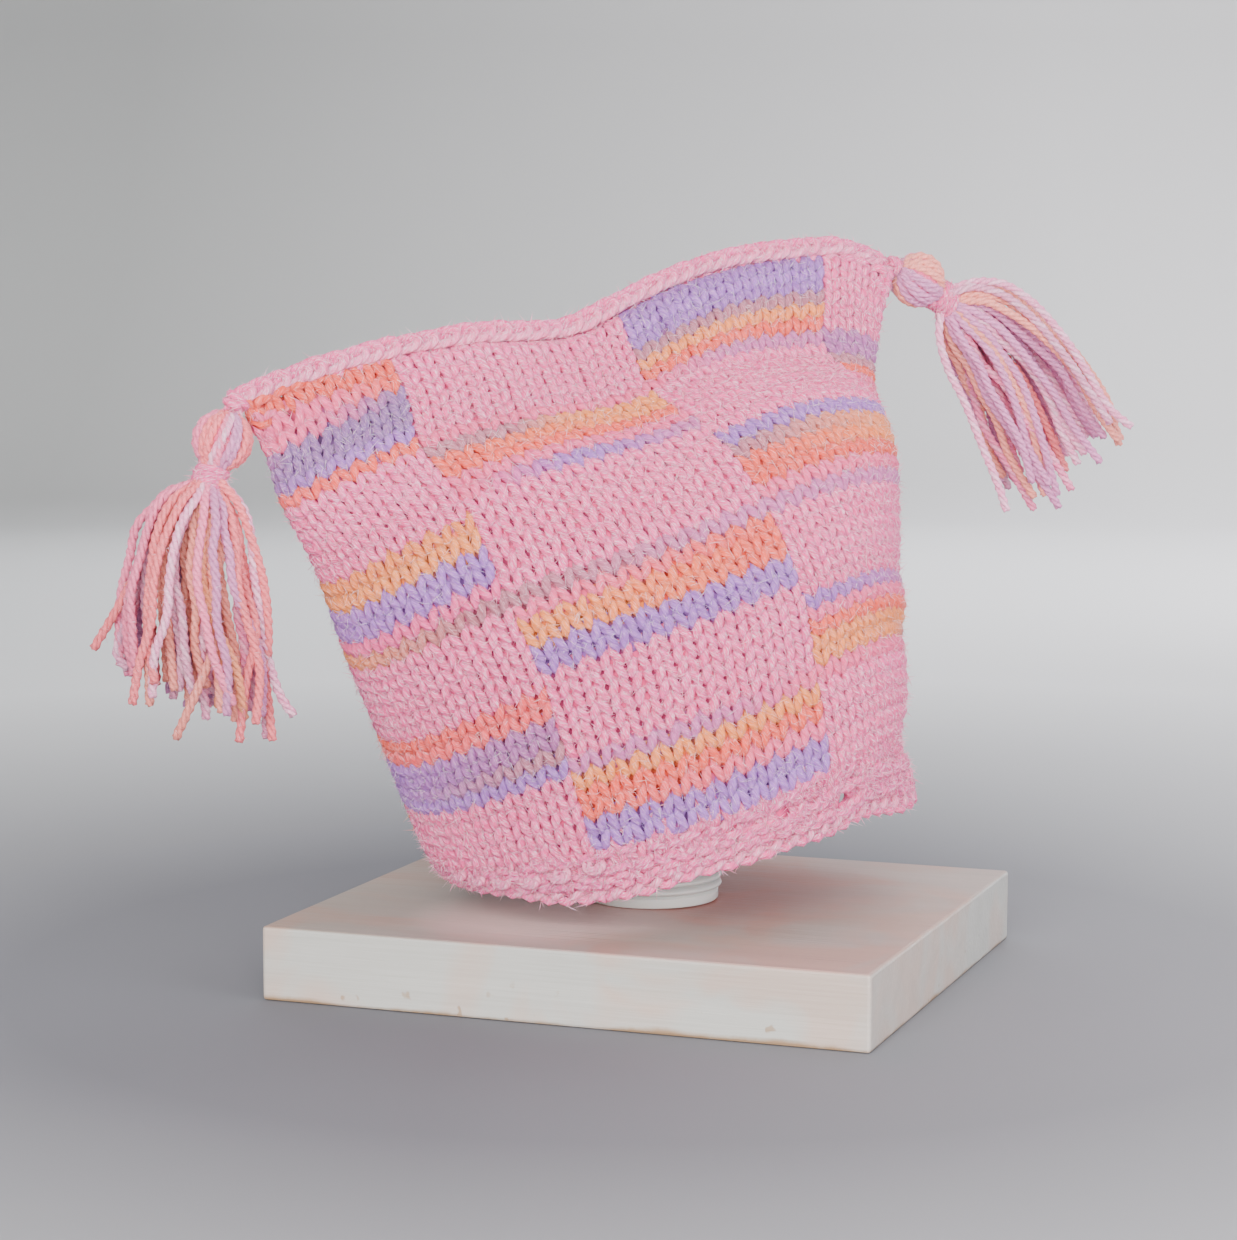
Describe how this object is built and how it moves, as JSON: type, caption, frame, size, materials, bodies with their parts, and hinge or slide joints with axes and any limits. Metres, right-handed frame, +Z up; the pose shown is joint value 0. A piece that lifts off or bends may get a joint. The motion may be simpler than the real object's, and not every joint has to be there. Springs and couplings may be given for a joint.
{
  "type": "knitted jester hat on a display stand",
  "caption": "Knitted hat closed straight across the top, its corners drawn out with yarn tassels, held over a ribbed neck on a painted board.",
  "frame": {"origin": "middle of the board's underside", "axes": "+X along the board's long front edge, +Y from its front edge to its back edge, +Z up"},
  "size_m": [0.2023, 0.2338, 0.1937],
  "materials": {
    "white_paint": "white paint, half gloss, worn thin on the lower edges",
    "white_plastic": "white moulded plastic, satin",
    "plain_plastic": "plain, matt",
    "pink_yarn": "light pink worsted yarn, knitted",
    "mixed_yarn": "variegated worsted yarn, lilac to yellow to coral"
  },
  "bodies": {
    "root": {"board": "white_paint", "neck_collar": "white_plastic", "post": "plain_plastic", "knit_crown": "pink_yarn", "garter_hem": "pink_yarn", "seam_ridge": "pink_yarn", "tassel_left": "mixed_yarn", "tassel_right": "mixed_yarn", "tie_left": "pink_yarn", "tie_right": "pink_yarn"}
  },
  "joints": []
}
